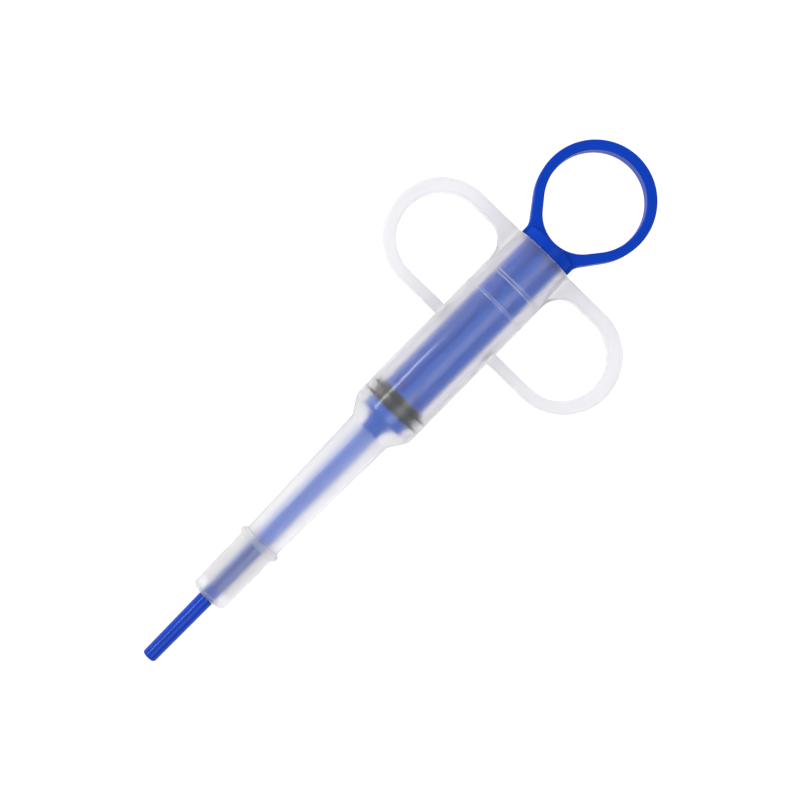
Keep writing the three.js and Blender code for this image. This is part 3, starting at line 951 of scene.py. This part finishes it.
def make_plunger(s):
    material = blue_polypropylene()
    section, piston_rear = rod_and_piston(s)
    body = turned("plunger_body", section, material)
    into_flange = 1.0 * MM
    rib_rear = RIM_X + s.flange_gap + into_flange
    ribs = shaft_ribs(s, piston_rear - s.rear_disc / 2, rib_rear, material)
    body = combined(body, ribs, "UNION", own_crossings=True)
    body = combined(body, turned("flange", stop_flange(s), material), "UNION")
    body = combined(body, thumb_ring(s, material), "UNION")
    return finished(body, "plunger_moulding", "plunger", "plunger")


# -----------------------------------------------------------------------------
# Stage
# -----------------------------------------------------------------------------


def make_camera(s):
    """A camera straight above the syringe, which lies from corner to corner of the picture."""
    camera = bpy.data.cameras.new("camera")
    camera.sensor_width = 36.0
    camera.lens = camera.sensor_width * s.camera_height / s.field_width
    camera.clip_start, camera.clip_end = 0.01, 20.0
    holder = bpy.data.objects.new("camera", camera)
    holder.location = (s.camera_along, s.camera_across, AXIS_HEIGHT + s.camera_height)
    holder.rotation_euler = (0.0, 0.0, s.camera_turn)
    bpy.context.scene.collection.objects.link(holder)
    bpy.context.scene.camera = holder


def make_floor(s, plunger):
    """A table top low enough for the thumb ring to pass it when the plunger is turned."""
    ring_reach = math.hypot(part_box("plunger")[1].y, plunger.ring_depth / 2)
    place = Matrix.Translation((0.0, 0.0, AXIS_HEIGHT - ring_reach - s.table_gap))
    work = bmesh.new()
    bmesh.ops.create_grid(work, x_segments=24, y_segments=24, size=s.table_reach, matrix=place)
    mesh = bpy.data.meshes.new("table_top")
    work.to_mesh(mesh)
    work.free()
    mesh.materials.append(pale_table())
    floor = linked("table_top", mesh)


def softbox(name, place, width, height, power):
    """A rectangular area light aimed at the middle of the syringe."""
    light = bpy.data.lights.new(name, "AREA")
    light.shape = "RECTANGLE"
    light.size, light.size_y = width, height
    light.energy = power
    holder = bpy.data.objects.new(name, light)
    holder.location = place
    aim = Vector((0.0, 0.0, AXIS_HEIGHT)) - holder.location
    holder.rotation_euler = aim.to_track_quat("-Z", "Y").to_euler()
    bpy.context.scene.collection.objects.link(holder)
    return holder


def make_lights():
    """The window gives the long highlights, the overhead light the broad ones, and the fill light none."""
    window = softbox("window_softbox", place=(-0.125, 0.62, 0.72), width=0.35, height=0.10, power=2.2)
    window.visible_transmission = False
    softbox("overhead_softbox", place=(0.0, -0.43, 0.97), width=1.6, height=0.50, power=5.0)
    fill = softbox("fill_softbox", place=(0.0, 1.25, 0.30), width=1.6, height=0.40, power=5.5)
    fill.visible_glossy = False
    world = bpy.data.worlds.new("studio")
    world.use_nodes = True
    background = world.node_tree.nodes["Background"]
    background.inputs["Color"].default_value = (0.97, 0.98, 1.0, 1.0)
    background.inputs["Strength"].default_value = 0.46
    bpy.context.scene.world = world
    bpy.context.scene.view_settings.view_transform = "Standard"


# -----------------------------------------------------------------------------
# Operators, panel and registration
# -----------------------------------------------------------------------------


class SYRINGE_OT_barrel(Operator):
    """Build the frosted barrel with its nozzle, spigot and finger loops"""

    bl_idname = "syringe.barrel"
    bl_label = "Barrel"

    def execute(self, context):
        make_barrel(context.scene.syringe_barrel)
        return {"FINISHED"}


class SYRINGE_OT_soft_tip(Operator):
    """Build the milky soft tip"""

    bl_idname = "syringe.soft_tip"
    bl_label = "Soft tip"

    def execute(self, context):
        make_soft_tip(context.scene.syringe_tip, context.scene.syringe_barrel)
        return {"FINISHED"}


class SYRINGE_OT_piston_seal(Operator):
    """Build the two-lipped rubber seal"""

    bl_idname = "syringe.piston_seal"
    bl_label = "Piston seal"

    def execute(self, context):
        make_piston_seal(context.scene.syringe_seal, context.scene.syringe_barrel)
        return {"FINISHED"}


class SYRINGE_OT_plunger(Operator):
    """Build the blue plunger: push rod, piston, ribbed shaft, flange and thumb ring"""

    bl_idname = "syringe.plunger"
    bl_label = "Plunger"

    def execute(self, context):
        make_plunger(context.scene.syringe_plunger)
        return {"FINISHED"}


class SYRINGE_OT_stage(Operator):
    """Set up the table top, the lights and the camera"""

    bl_idname = "syringe.stage"
    bl_label = "Stage"

    def execute(self, context):
        make_camera(context.scene.syringe_stage)
        make_floor(context.scene.syringe_stage, context.scene.syringe_plunger)
        make_lights()
        return {"FINISHED"}


OPERATORS = (
    SYRINGE_OT_stage,
    SYRINGE_OT_barrel,
    SYRINGE_OT_soft_tip,
    SYRINGE_OT_piston_seal,
    SYRINGE_OT_plunger,
)


class SYRINGE_PT_pieces(Panel):
    """Lists the syringe's pieces and their settings in the sidebar"""

    bl_idname = "SYRINGE_PT_pieces"
    bl_label = "Syringe"
    bl_space_type = "VIEW_3D"
    bl_region_type = "UI"
    bl_category = "Syringe"

    def draw(self, context):
        for operator in OPERATORS:
            self.layout.operator(operator.bl_idname)
        for name, group in SETTINGS.items():
            box = self.layout.box()
            box.label(text=name.removeprefix("syringe_").capitalize())
            for setting in group.__annotations__:
                box.prop(getattr(context.scene, name), setting)


SETTINGS = {
    "syringe_barrel": BarrelSettings,
    "syringe_tip": TipSettings,
    "syringe_seal": SealSettings,
    "syringe_plunger": PlungerSettings,
    "syringe_finish": FinishSettings,
    "syringe_stage": StageSettings,
}
CLASSES = (*SETTINGS.values(), *OPERATORS, SYRINGE_PT_pieces)


def register():
    for cls in CLASSES:
        bpy.utils.register_class(cls)
    for name, group in SETTINGS.items():
        setattr(bpy.types.Scene, name, PointerProperty(type=group))


def unregister():
    for name in SETTINGS:
        delattr(bpy.types.Scene, name)
    for cls in reversed(CLASSES):
        bpy.utils.unregister_class(cls)


def main():
    register()
    for operator in OPERATORS:
        group, name = operator.bl_idname.split(".")
        getattr(getattr(bpy.ops, group), name)()


if __name__ == "__main__":
    main()
